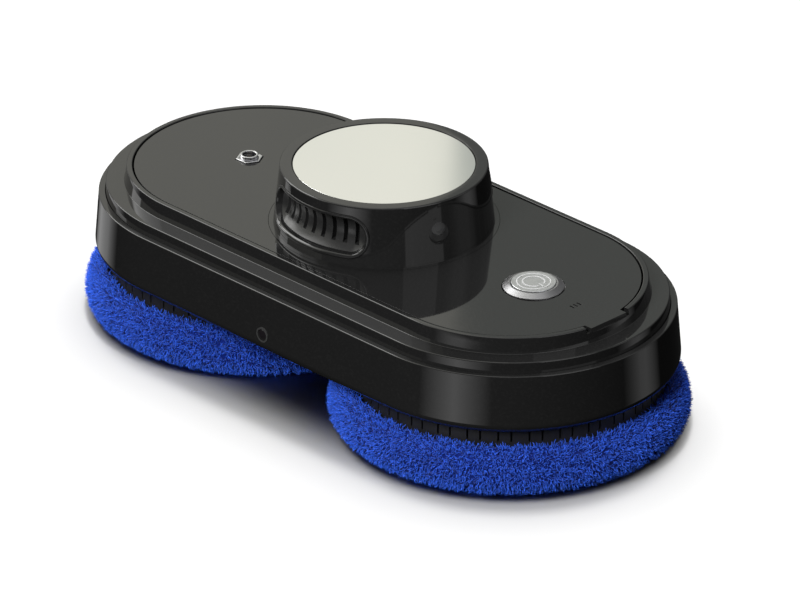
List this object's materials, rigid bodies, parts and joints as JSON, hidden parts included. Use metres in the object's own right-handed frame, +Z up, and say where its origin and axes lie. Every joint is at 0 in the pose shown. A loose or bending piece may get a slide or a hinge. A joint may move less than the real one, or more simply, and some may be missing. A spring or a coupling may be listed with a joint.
{
  "type": "window cleaning robot",
  "caption": "Stadium-shaped window cleaning robot with round rotating wiping pads, a round grip with a mirror disc, finger hollows, a power button and a power inlet.",
  "frame": {"origin": "on the floor under the middle of the body, midway between the two wheel axles", "axes": "+X from the middle through the wheel under the power button, -Y towards the side sensor, +Z up out of the pads, parallel to the wheel axles"},
  "size_m": [0.2974, 0.1484, 0.0918],
  "materials": {
    "gloss_black": "glossy black moulding",
    "matte_black": "fine matte black",
    "inner_grey": "moulded grey",
    "mirror_coat": "mirror coated disc",
    "bright_metal": "turned and plated",
    "button_silver": "satin silver",
    "steel": "plain steel",
    "brass": "machined brass",
    "white_plastic": "white moulding",
    "gear_plastic": "natural acetal",
    "sleeve_metal": "turned aluminium",
    "seal_rubber": "black seal rubber",
    "pad_microfibre": "blue microfibre with short curly fibres",
    "hook_nylon": "hook tape",
    "board_green": "solder mask",
    "chip_black": "moulded packages",
    "cell_blue": "shrink sleeve",
    "sensor_lens": "dark red lens"
  },
  "bodies": {
    "body": {"outer_skirt": "gloss_black", "top_frame": "gloss_black", "deck_plate": "gloss_black", "deck_gasket": "seal_rubber", "base_plate": "matte_black", "base_screws": "steel", "handle_collar": "gloss_black", "handle_shell": "gloss_black", "handle_screws": "steel", "grip_insert_front": "matte_black", "grip_insert_back": "matte_black", "handle_top_plate": "matte_black", "mirror_disc": "mirror_coat", "button_bezel": "bright_metal", "button_nut": "steel", "button_switch": "matte_black", "button_spring": "steel", "power_socket": "bright_metal", "socket_contact": "brass", "socket_nut": "bright_metal", "socket_washer": "seal_rubber", "buzzer": "matte_black", "side_sensor": "sensor_lens", "sensor_bezel": "matte_black", "suction_duct": "inner_grey", "suction_sleeves": "sleeve_metal", "sleeve_nuts": "steel", "thrust_washers": "white_plastic", "fan_housing": "inner_grey", "fan_motor": "steel", "battery_case": "matte_black", "battery_cells": "cell_blue", "main_board": "board_green", "board_parts": "chip_black", "gear_covers": "inner_grey", "drive_motor_right": "steel", "drive_motor_left": "steel"},
    "button": {"button_cap": "button_silver", "button_ring": "white_plastic", "power_symbol": "white_plastic"},
    "fan": {"fan_shaft": "steel", "impeller": "white_plastic"},
    "drive_right": {"motor_shaft_right": "steel", "pinion_right": "brass"},
    "wheel_right": {"wheel_disc_right": "matte_black", "clip_ring_right": "matte_black", "ring_screws_right": "steel", "hook_ring_right": "hook_nylon", "pad_right": "pad_microfibre", "drive_gear_right": "gear_plastic", "gear_clip_right": "steel"},
    "drive_left": {"motor_shaft_left": "steel", "pinion_left": "brass"},
    "wheel_left": {"wheel_disc_left": "matte_black", "clip_ring_left": "matte_black", "ring_screws_left": "steel", "hook_ring_left": "hook_nylon", "pad_left": "pad_microfibre", "drive_gear_left": "gear_plastic", "gear_clip_left": "steel"}
  },
  "joints": [
    {"name": "wheel_right_spin", "type": "hinge", "parent": "body", "child": "wheel_right", "pos_m": [0.0745, 0, 0.02], "axis": [0, 0, 1], "continuous": true},
    {"name": "wheel_left_spin", "type": "hinge", "parent": "body", "child": "wheel_left", "pos_m": [-0.0745, 0, 0.02], "axis": [0, 0, 1], "continuous": true},
    {"name": "pinion_right_spin", "type": "hinge", "parent": "body", "child": "drive_right", "pos_m": [0.0745, -0.04, 0.036], "axis": [0, 0, 1], "continuous": true},
    {"name": "pinion_left_spin", "type": "hinge", "parent": "body", "child": "drive_left", "pos_m": [-0.0745, 0.04, 0.036], "axis": [0, 0, 1], "continuous": true},
    {"name": "fan_spin", "type": "hinge", "parent": "body", "child": "fan", "pos_m": [0, 0, 0.06], "axis": [0, 0, 1], "continuous": true},
    {"name": "button_press", "type": "slide", "parent": "body", "child": "button", "axis": [0, 0, -1], "range_m": [0, 0.0012], "stiffness_N_per_m": 400, "springref_m": -0.001, "deforming": ["button_spring"]}
  ],
  "couplings": [
    {"joint": "pinion_right_spin", "follows": "wheel_right_spin", "ratio": -5.6667},
    {"joint": "pinion_left_spin", "follows": "wheel_left_spin", "ratio": -5.6667}
  ]
}
